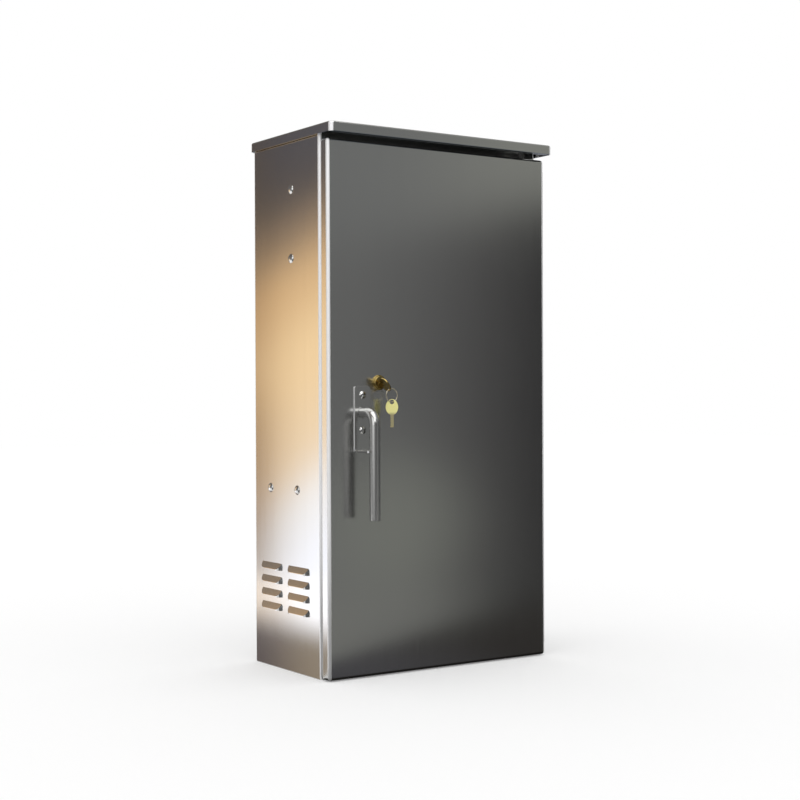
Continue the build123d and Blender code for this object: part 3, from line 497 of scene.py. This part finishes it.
STEEL: Colour = (0.62, 0.62, 0.61)
BRIGHT_STEEL: Colour = (0.66, 0.66, 0.65)
BODY_HALF_WIDTH = 0.25
BODY_HALF_DEPTH = 0.1235
# Height below which the painted fold highlight weakens.
FOLD_HIGHLIGHT_FADE_BELOW = 0.05
CUT_EDGE = 0.0002
BLADE_LENGTH = 0.022
BOW_START = 0.029
DOOR_LOW, DOOR_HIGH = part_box("door_pan")
ROOF_LOW, ROOF_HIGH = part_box("roof_canopy")
PLATE_LOW, PLATE_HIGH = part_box("handle_plate")
SPARE_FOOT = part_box("spare_key")[0][2]

SHEET = SteelFinish("sheet_steel", STEEL, roughness=0.17, grain=Grain.UPRIGHT)
# The body, door, roof and plate sheets carry the painted fold highlight.
BODY_SHEET = FoldedFinish(
    "body_sheet_steel", STEEL, roughness=0.17, grain=Grain.UPRIGHT,
    low=(-BODY_HALF_WIDTH, -BODY_HALF_DEPTH), high=(BODY_HALF_WIDTH, BODY_HALF_DEPTH),
    highlight_fade_below=FOLD_HIGHLIGHT_FADE_BELOW)
DOOR_SHEET = FoldedFinish(
    "door_sheet_steel", STEEL, roughness=0.20, grain=Grain.UPRIGHT,
    low=tuple(DOOR_LOW[:2]), high=tuple(DOOR_HIGH[:2]), highlight_fade_below=FOLD_HIGHLIGHT_FADE_BELOW)
# The roof's bottom cut edge gets painted shade.
ROOF_SHEET = CutEdgeFinish(
    "roof_sheet_steel", STEEL, roughness=0.17, grain=Grain.ACROSS,
    low=tuple(ROOF_LOW[:2]), high=tuple(ROOF_HIGH[:2]), reach=0.007, cut=ROOF_LOW[2] + CUT_EDGE)
PLATE = FoldedFinish(
    "plate_steel", BRIGHT_STEEL, roughness=0.16, grain=Grain.EVEN, contrast=0.06,
    low=tuple(PLATE_LOW[:2]), high=tuple(PLATE_HIGH[:2]), reach=0.0022)
FITTING = SteelFinish(
    "fitting_steel", BRIGHT_STEEL, roughness=0.16, grain=Grain.EVEN, contrast=0.06)
POLISHED = SteelFinish(
    "polished_steel", (0.58, 0.58, 0.57), roughness=0.20, grain=Grain.UPRIGHT, contrast=0.05,
    metal=0.92)
RING = SteelFinish("ring_wire", (0.74, 0.68, 0.53), roughness=0.18, grain=Grain.EVEN, metal=0.85)
ZINC = SteelFinish(
    "zinc_plate", (0.60, 0.62, 0.64), roughness=0.30, grain=Grain.EVEN, contrast=0.16, mottle=0.14)
STUD = ThreadFinish(
    "threaded_brass", (0.62, 0.44, 0.13), roughness=0.26, grain=Grain.EVEN, contrast=0.16,
    mottle=0.16, relief=0.0004)
BRASS = SteelFinish(
    "brass", (0.42, 0.315, 0.115), roughness=0.16, grain=Grain.EVEN, contrast=0.22, mottle=0.12)
PALE_BRASS = KeyFinish(
    "pale_brass", (0.98, 0.85, 0.33), roughness=0.30, grain=Grain.EVEN, contrast=0.14,
    mottle=0.20, metal=0.08, blade_top=SPARE_FOOT + BLADE_LENGTH, bow_low=SPARE_FOOT + BOW_START)
RUBBER = DullFinish(
    "sponge_rubber", (0.015, 0.015, 0.016), (0.045, 0.045, 0.046), roughness=0.85,
    waves=(900.0, 900.0, 900.0), relief=0.0004)
FELT = DullFinish(
    "filter_felt", (0.52, 0.52, 0.49), (0.80, 0.80, 0.77), roughness=0.95,
    waves=(420.0, 260.0, 260.0), relief=0.0012)
NYLON = DullFinish(
    "nylon", (0.76, 0.75, 0.69), (0.84, 0.83, 0.78), roughness=0.45,
    waves=(300.0, 300.0, 300.0), relief=0.00005)

SLOT_FINISHES = {
    "stainless_sheet": SHEET,
    "stainless_trim": FITTING,
    "polished_steel": POLISHED,
    "zinc_plate": ZINC,
    "brass": BRASS,
    "seal_rubber": RUBBER,
    "filter_felt": FELT,
    "roller_nylon": NYLON,
}
NODE_FINISHES = {
    "body_shell": BODY_SHEET,
    "door_pan": DOOR_SHEET,
    "roof_canopy": ROOF_SHEET,
    "handle_plate": PLATE,
    "spare_key": PALE_BRASS,
    "key_ring": RING,
    "ground_stud": STUD,
}
SLOTS: Dict[str, str] = {
    part["node"]: part["material_slot"] for part in frame["record"]["subparts"]}


def finish_of(node: str) -> Union[SteelFinish, DullFinish]:
    """The finish of a CAD node, by its name or its material slot."""
    return NODE_FINISHES.get(node, SLOT_FINISHES[SLOTS[node]])


class Paintbox:
    """Keeps one material for each finish."""

    def __init__(self) -> None:
        """Starts with no material made."""
        self.made: Dict[str, bpy.types.Material] = {}

    def get(self, finish: Union[SteelFinish, DullFinish]) -> bpy.types.Material:
        """The material of a finish, made on first use.

        Args:
            finish: The finish.

        Returns:
            Its material.
        """
        if finish.name not in self.made:
            self.made[finish.name] = finish.material()
        return self.made[finish.name]


def add_object(name: str, mesh: bmesh.types.BMesh, paint: bpy.types.Material) -> bpy.types.Object:
    """Makes a finished mesh an object of the scene.

    Args:
        name: The object's name.
        mesh: The finished mesh, which is freed.
        paint: The object's material.

    Returns:
        The object.
    """
    data = bpy.data.meshes.new(name)
    mesh.to_mesh(data)
    mesh.free()
    data.materials.append(paint)
    made = bpy.data.objects.new(name, data)
    bpy.context.scene.collection.objects.link(made)
    return made


def publish(name: str, mesh: bmesh.types.BMesh, body: str, node: str, paints: Paintbox) -> None:
    """Makes a finished mesh a piece that stands for a CAD node.

    Args:
        name: The piece's name.
        mesh: The finished mesh, which is freed.
        body: The body that the piece rides on.
        node: The CAD node that it stands for.
        paints: Where the finishes are kept.
    """
    piece = add_object(name, mesh, paints.get(finish_of(node)))
    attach(piece, body)
    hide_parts(node)
    log.info("%s: %d faces on %s", name, len(piece.data.polygons), body)


@dataclass
class FrameDress:
    """Gives every CAD node that stays in view its finish."""

    paints: Paintbox

    def dress(self) -> None:
        """Assigns the finishes by the record's material slots."""
        for name, node in frame["nodes"].items():
            finish = finish_of(name)
            node.data.materials.clear()
            node.data.materials.append(self.paints.get(finish))
            log.info("%s: %s", name, finish.name)


@dataclass
class Fittings:
    """Small fittings of one body, with the edges that deburring rounds off."""

    paints: Paintbox
    body: str
    nodes: Tuple[str, ...]
    radius: float = 0.0003
    segments: int = 2
    weld: float = 0.000002
    flat: float = math.radians(0.3)
    curved: float = 0.005
    sharp: float = math.radians(38.0)
    curved_sides: int = 5

    def round_off(self, node: str) -> bmesh.types.BMesh:
        """Copies a CAD node and rounds its sharp edges.

        Args:
            node: The node's name.

        Returns:
            The rounded mesh.
        """
        mesh = bmesh.new()
        mesh.from_mesh(frame["nodes"][node].data)
        bmesh.ops.remove_doubles(mesh, verts=mesh.verts, dist=self.weld)
        bmesh.ops.dissolve_limit(mesh, angle_limit=self.flat, verts=mesh.verts, edges=mesh.edges)
        for face in mesh.faces:
            angles = [edge.calc_face_angle(0.0) for edge in face.edges]
            face.smooth = len(face.verts) <= self.curved_sides and any(
                self.curved < angle < self.sharp for angle in angles)
        edges = [edge for edge in mesh.edges
                 if edge.is_manifold and edge.calc_face_angle(0.0) > self.sharp]
        made = bmesh.ops.bevel(
            mesh, geom=edges, offset=self.radius, offset_type="OFFSET", segments=self.segments,
            profile=0.5, affect="EDGES", clamp_overlap=True, material=-1)
        for face in made["faces"]:
            face.smooth = True
        return mesh

    def build(self) -> None:
        """Makes every fitting of the body."""
        for node in self.nodes:
            publish(node + "_rounded", self.round_off(node), self.body, node, self.paints)


@dataclass
class SplitRing:
    """The key ring, wound from two turns of flat wire."""

    paints: Paintbox
    turns: int = 2
    steps: int = 72
    corners: int = 12
    wire_width: float = 0.45

    def build(self) -> None:
        """Winds the ring in the space of its CAD node."""
        low, high = (Vector(corner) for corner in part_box("key_ring"))
        middle = (low + high) / 2.0
        depth = high.y - low.y
        thick = depth / (self.turns + 1)
        wide = depth * self.wire_width
        start = Vector((high.x - wide, low.y + thick / 2.0, middle.z))
        mesh = bmesh.new()
        section = Matrix.Translation(start) @ Matrix.Diagonal((wide, thick / 2.0, 1.0, 1.0))
        bmesh.ops.create_circle(
            mesh, cap_ends=False, segments=self.corners, radius=1.0, matrix=section)
        count = self.steps * self.turns
        bmesh.ops.spin(
            mesh, geom=mesh.verts[:] + mesh.edges[:], cent=middle, axis=(0.0, 1.0, 0.0),
            dvec=(0.0, thick * self.turns / count, 0.0), angle=2.0 * math.pi * self.turns,
            steps=count, use_merge=False)
        bmesh.ops.holes_fill(mesh, edges=[edge for edge in mesh.edges if edge.is_boundary])
        bmesh.ops.recalc_face_normals(mesh, faces=mesh.faces)
        for face in mesh.faces:
            face.smooth = len(face.verts) == 4
        publish("split_ring", mesh, "ring", "key_ring", self.paints)


class CardColour:
    """What a card shows; each card has its own kind."""

    def paint(self, graph: Graph) -> Feed:
        """Gives the card's colour.

        Args:
            graph: The card's graph.

        Returns:
            The colour.
        """
        raise NotImplementedError

    def material(self, name: str) -> bpy.types.Material:
        """Makes the card's material.

        Args:
            name: The card's name.

        Returns:
            The material.
        """
        made = bpy.data.materials.new(name)
        made.use_nodes = True
        graph = Graph(made.node_tree)
        light = graph.node("ShaderNodeEmission",
                           feeds={"Color": self.paint(graph), "Strength": 1.0})
        graph.node("ShaderNodeOutputMaterial", feeds={0: light})
        return made


@dataclass(frozen=True)
class DarkCard(CardColour):
    """The dim card that the door mirrors: paler above and to the left, with one soft pale patch."""

    width: Span = (0.25, 1.25)
    stops: Stops = (
        (0.0, (0.185, 0.188, 0.186)), (0.45, (0.135, 0.135, 0.135)),
        (0.8, (0.072, 0.070, 0.071)), (1.0, (0.030, 0.030, 0.031)))
    crown_heights: Span = (0.84, 0.97)
    crown_pivot: float = 0.4
    crown_slant: float = 0.22
    crown_width: Span = (0.5, 1.1)
    crown_left: Colour = (0.212, 0.217, 0.215)
    crown_right: Colour = (0.31, 0.315, 0.29)
    patch: Colour = (0.275, 0.285, 0.255)
    patch_middle: Span = (0.60, 0.17)
    patch_reach: Span = (0.24, 0.20)
    patch_edge: float = 1.6
    patch_strength: float = 0.85

    def paint(self, graph: Graph) -> Wire:
        """Gives the card's colour."""
        x, _, z = graph.axes()
        wide = graph.ramp(graph.fade(x, *self.width), self.stops, False)
        crown = graph.mix(graph.fade(x, *self.crown_width), self.crown_left, self.crown_right)
        top = graph.fade(z - (x - self.crown_pivot) * self.crown_slant, *self.crown_heights)
        away_x, away_z = ((axis - middle) / reach for axis, middle, reach in zip(
            (x, z), self.patch_middle, self.patch_reach))
        near = 1.0 - graph.fade(away_x * away_x + away_z * away_z, 0.0, self.patch_edge)
        return graph.mix(near * self.patch_strength, graph.mix(top, wide, crown), self.patch)


@dataclass(frozen=True)
class DarkFloor(CardColour):
    """The dim strip on the floor before the door, with the cabinet's own shade next to it."""

    lit_slant: float = 0.63
    lit_width: Span = (-0.15, 0.24)
    lit_left: Colour = (0.232, 0.235, 0.222)
    lit_right: Colour = (0.050, 0.051, 0.051)
    shade_width: Span = (-0.20, 0.30)
    shade_left: Colour = (0.080, 0.078, 0.086)
    shade_right: Colour = (0.036, 0.033, 0.031)
    shade_slant: float = 0.53
    shade_end: Span = (0.37, 0.45)
    foot: Colour = (0.014, 0.013, 0.012)
    foot_end: Span = (0.155, 0.185)

    def paint(self, graph: Graph) -> Wire:
        """Gives the strip's colour."""
        x, y, _ = graph.axes()
        before = 0.0 - y
        lit = graph.mix(graph.fade(x + y * self.lit_slant, *self.lit_width),
                        self.lit_left, self.lit_right)
        shade = graph.mix(graph.fade(x, *self.shade_width), self.shade_left, self.shade_right)
        shade = graph.mix(graph.fade(before, *self.foot_end), self.foot, shade)
        return graph.mix(graph.fade(before - x * self.shade_slant, *self.shade_end), shade, lit)


@dataclass(frozen=True)
class WarmCard(CardColour):
    """The card that the left wall mirrors: dark above, tan in the middle, white below."""

    top: float = 1.5
    stops: Stops = (
        (0.0, (1.62, 1.66, 1.82)), (0.12, (1.55, 1.54, 1.56)), (0.22, (1.47, 1.12, 0.74)),
        (0.40, (1.50, 1.085, 0.62)), (0.54, (1.20, 0.79, 0.41)), (0.64, (0.38, 0.28, 0.205)),
        (0.70, (0.12, 0.112, 0.118)), (0.80, (0.130, 0.127, 0.145)))
    pivot: float = 1.1
    slant: float = 0.50
    slant_loss: float = 0.25
    slant_heights: Span = (0.3, 0.9)
    back: Span = (1.12, 1.36)
    dip: float = 0.09
    dip_heights: Span = (0.3, 0.6)
    depth: Span = (1.08, 1.38)
    depth_shade: Colour = (0.50, 0.42, 0.34)
    corner_heights: Span = (0.38, 0.64)
    corner_shade: Colour = (0.58, 0.50, 0.42)
    rim: Span = (1.23, 1.29)
    rim_heights: Span = (0.36, 0.60)
    rim_shade: Colour = (0.72, 0.70, 0.67)
    dusk: Span = (1.40, 1.52)
    dusk_near: Colour = (0.64, 0.46, 0.30)
    dusk_far: Colour = (0.27, 0.21, 0.165)
    dusk_pivot: float = 0.9
    dusk_slant: float = 0.6
    dusk_depth: Span = (1.58, 1.80)

    def paint(self, graph: Graph) -> Wire:
        """Gives the card's colour."""
        _, y, z = graph.axes()
        back = graph.fade(y, *self.back)
        slant = self.slant - graph.fade(z, *self.slant_heights) * self.slant_loss
        dip = back * (1.0 - graph.fade(z, *self.dip_heights)) * self.dip
        height = z + (y - self.pivot) * slant + dip
        colour = graph.ramp(height / self.top, self.stops, True)
        corner = back * (1.0 - graph.fade(z, *self.corner_heights))
        rim = graph.fade(y, *self.rim) * (1.0 - graph.fade(z, *self.rim_heights))
        for share, shade in ((graph.fade(y, *self.depth), self.depth_shade),
                             (corner, self.corner_shade), (rim, self.rim_shade)):
            colour = graph.mix(share, colour, shade, "MULTIPLY")
        away = graph.fade(y + (z - self.dusk_pivot) * self.dusk_slant, *self.dusk_depth)
        dusk = graph.mix(away, self.dusk_near, self.dusk_far)
        return graph.mix(graph.fade(y, *self.dusk), colour, dusk)


@dataclass(frozen=True)
class WarmFloor(CardColour):
    """The brown strip on the floor beside the left wall, which turns white away from it."""

    wall: float = 0.25
    slant: float = 1.75
    depth: Span = (-0.13, 0.13)
    near_front: Colour = (0.40, 0.325, 0.245)
    near_back: Colour = (0.18, 0.15, 0.145)
    far_front: Colour = (2.10, 2.10, 2.20)
    far_back: Colour = (1.40, 1.15, 0.92)
    width: Span = (0.40, 0.72)

    def paint(self, graph: Graph) -> Wire:
        """Gives the strip's colour."""
        x, y, _ = graph.axes()
        back = graph.fade(y + (x + self.wall) * self.slant, *self.depth)
        near = graph.mix(back, self.near_front, self.near_back)
        far = graph.mix(back, self.far_front, self.far_back)
        return graph.mix(graph.fade(0.0 - x, *self.width), near, far)


@dataclass(frozen=True)
class PlainCard(CardColour):
    """A card of one even light."""

    light: Colour

    def paint(self, graph: Graph) -> Feed:
        """Gives the card's colour."""
        return self.light


@dataclass(frozen=True)
class RisingCard(CardColour):
    """A card whose light changes from one height to another."""

    below: Colour
    above: Colour
    heights: Span = (0.0, 1.6)

    def paint(self, graph: Graph) -> Wire:
        """Gives the card's colour."""
        _, _, z = graph.axes()
        return graph.mix(graph.fade(z, *self.heights), self.below, self.above)


@dataclass(frozen=True)
class CeilingCard(CardColour):
    """The ceiling: brown to the left, grey over the roof."""

    left: Colour = (0.16, 0.125, 0.10)
    right: Colour = (0.40, 0.40, 0.39)
    width: Span = (-0.9, 0.3)

    def paint(self, graph: Graph) -> Wire:
        """Gives the card's colour."""
        x, _, _ = graph.axes()
        return graph.mix(graph.fade(x, *self.width), self.left, self.right)


@dataclass(frozen=True)
class Card:
    """A studio card that steel mirrors and that the camera doesn't see."""

    name: str
    colour: CardColour
    corner: Point
    across: Point
    along: Point

    def build(self) -> None:
        """Makes the card."""
        mesh = bmesh.new()
        start, across, along = Vector(self.corner), Vector(self.across), Vector(self.along)
        corners = [mesh.verts.new(start + step)
                   for step in (Vector(), across, across + along, along)]
        bmesh.ops.contextual_create(mesh, geom=corners)
        card = add_object(self.name, mesh, self.colour.material(self.name))
        card.visible_camera = False
        card.visible_diffuse = False
        card.visible_shadow = False
        log.info("%s: studio card", self.name)


def grey(level: float) -> Colour:
    """An even grey light."""
    return (level, level, level)


CARDS = (
    Card("door_card", DarkCard(),
         corner=(0.2, -1.2, 0.0), across=(2.05, 0.0, 0.0), along=(0.0, 0.0, 2.2)),
    Card("door_floor_card", DarkFloor(),
         corner=(-0.30, -1.2, 0.001), across=(2.5, 0.0, 0.0), along=(0.0, 1.075, 0.0)),
    Card("wall_card", WarmCard(),
         corner=(-0.9, 0.55, 0.0), across=(0.0, 1.4, 0.0), along=(0.0, 0.0, 2.2)),
    Card("wall_floor_card", WarmFloor(),
         corner=(-0.9, 0.60, 0.001), across=(0.6495, -0.72, 0.0), along=(0.0, 0.80, 0.0)),
    Card("front_floor_card", PlainCard(grey(0.13)),
         corner=(-2.9, -3.2, 0.001), across=(2.6, 0.0, 0.0), along=(0.0, 3.08, 0.0)),
    Card("right_wall_card", RisingCard((0.62, 0.62, 0.63), (0.15, 0.15, 0.155), (0.1, 1.1)),
         corner=(0.9, 0.55, 0.0), across=(0.0, 1.4, 0.0), along=(0.0, 0.0, 2.2)),
    Card("right_card", RisingCard(grey(0.05), grey(0.12), (0.6, 1.6)),
         corner=(2.4, -3.2, 0.0), across=(0.0, 5.8, 0.0), along=(0.0, 0.0, 2.6)),
    Card("back_card", RisingCard(grey(0.42), grey(0.16)),
         corner=(-2.6, 2.6, 0.0), across=(5.0, 0.0, 0.0), along=(0.0, 0.0, 2.6)),
    Card("left_card", RisingCard(grey(0.28), (0.20, 0.19, 0.18)),
         corner=(-2.6, -1.5, 0.0), across=(0.0, 4.1, 0.0), along=(0.0, 0.0, 2.6)),
    Card("front_card", RisingCard(grey(0.17), grey(0.13)),
         corner=(-2.9, -3.2, 0.0), across=(5.3, 0.0, 0.0), along=(0.0, 0.0, 2.6)),
    Card("ceiling_card", CeilingCard(),
         corner=(-2.6, -3.2, 2.6), across=(5.0, 0.0, 0.0), along=(0.0, 5.8, 0.0)),
    Card("handle_flag", PlainCard((0.055, 0.052, 0.052)),
         corner=(-0.75, -2.2, 0.0), across=(1.45, 0.0, 0.0), along=(0.0, 0.0, 0.95)),
    Card("strip_light", RisingCard(grey(0.30), grey(1.30), (0.18, 0.62)),
         corner=(-2.05, -2.1, 0.0), across=(-0.75, 2.1, 0.0), along=(0.0, 0.0, 2.3)),
    Card("front_box", PlainCard(grey(2.0)),
         corner=(-2.2, -2.6, 1.35), across=(2.0, 0.0, 0.0), along=(0.0, 0.0, 1.05)),
    Card("top_box", PlainCard(grey(2.0)),
         corner=(-1.6, -2.6, 2.4), across=(2.2, 0.0, 0.0), along=(0.0, 2.5, 0.0)),
)


@dataclass
class Studio:
    """Floor, world, cards and camera."""

    floor_half: float = 12.0
    floor_colour: Colour = (0.86, 0.86, 0.86)
    floor_glow: float = 0.20
    world_light: float = 0.95
    lens: float = 67.5
    sensor: float = 36.0
    eye: Point = (-1.64770, -2.44911, 0.51547)
    aim: Point = (89.8102, 0.2287, -34.0556)

    def background(self, graph: Graph) -> Wire:
        """1 for a ray that shows the background: from the camera, a mirror or glass."""
        path = graph.node("ShaderNodeLightPath").socket.node
        camera, glossy, through = (Wire(graph, path.outputs[name]) for name in (
            "Is Camera Ray", "Is Glossy Ray", "Is Transmission Ray"))
        return camera.larger(glossy).larger(through)

    def build_world(self) -> None:
        """White where it is seen, a plain soft light elsewhere."""
        world = bpy.data.worlds.new("studio_world")
        world.use_nodes = True
        bpy.context.scene.world = world
        graph = Graph(world.node_tree)
        strength = self.world_light + self.background(graph) * (1.0 - self.world_light)
        light = graph.node("ShaderNodeBackground",
                           feeds={"Color": (1.0, 1.0, 1.0), "Strength": strength})
        graph.node("ShaderNodeOutputWorld", feeds={0: light})

    def build_floor(self) -> None:
        """A plain pale floor that keeps the cabinet's shadow."""
        paint = bpy.data.materials.new("studio_floor")
        paint.use_nodes = True
        graph = Graph(paint.node_tree)
        lit = graph.node("ShaderNodeBsdfDiffuse", feeds={"Color": self.floor_colour})
        glow = graph.node("ShaderNodeEmission",
                          feeds={"Strength": self.background(graph) * self.floor_glow})
        both = graph.node("ShaderNodeAddShader", feeds={0: lit, 1: glow})
        graph.node("ShaderNodeOutputMaterial", feeds={0: both})
        mesh = bmesh.new()
        bmesh.ops.create_grid(mesh, x_segments=1, y_segments=1, size=self.floor_half)
        floor = add_object("studio_floor", mesh, paint)
        log.info("studio_floor: pale floor")

    def build_camera(self) -> None:
        """The camera at the photograph's place and angle."""
        data = bpy.data.cameras.new("camera")
        data.lens = self.lens
        data.sensor_width = self.sensor
        camera = bpy.data.objects.new("camera", data)
        bpy.context.scene.collection.objects.link(camera)
        camera.location = self.eye
        camera.rotation_euler = [math.radians(angle) for angle in self.aim]
        bpy.context.scene.camera = camera

    def build(self) -> None:
        """Builds the whole studio."""
        bpy.context.scene.view_settings.view_transform = "Standard"
        self.build_world()
        self.build_floor()
        for card in CARDS:
            card.build()
        self.build_camera()


PLATE_EDGE = 0.0009
KEY_EDGE = 0.00025


def main() -> None:
    """Builds the studio, dresses the frame, rounds off the fittings and winds the split ring."""
    logging.basicConfig(level=logging.INFO, format="%(message)s")
    paints = Paintbox()
    Studio().build()
    FrameDress(paints).dress()
    Fittings(paints, "door", ("handle_plate",), PLATE_EDGE).build()
    Fittings(paints, "door", (
        "handle_plate_bolts", "handle_plate_nuts", "handle_bush", "lock_body", "lock_nut",
        "rod_guide_upper", "rod_guide_lower", "hinge_leaf_door")).build()
    Fittings(paints, "key", (
        "lock_plug", "lock_key", "lock_cam", "lock_cam_screw"), KEY_EDGE).build()
    Fittings(paints, "spare", ("spare_key",), KEY_EDGE).build()
    Fittings(paints, "handle", ("latch_cam", "cam_nut", "cam_pins")).build()
    Fittings(paints, "upper_rod", ("latch_rod_upper", "roller_axle_upper")).build()
    Fittings(paints, "lower_rod", ("latch_rod_lower", "roller_axle_lower")).build()
    Fittings(paints, "cabinet", (
        "side_bolts", "side_nuts", "gland_plate", "gland_screws", "rail_bracket_left",
        "rail_bracket_right", "cross_rail", "rail_screws", "shelf_bracket_left",
        "shelf_bracket_right", "shelf_screws", "panel_nuts", "panel_studs", "ground_nuts",
        "hinge_leaf_body", "mounting_panel", "equipment_shelf", "filter_frame_left",
        "filter_frame_right")).build()
    SplitRing(paints).build()


if __name__ == "__main__":
    main()
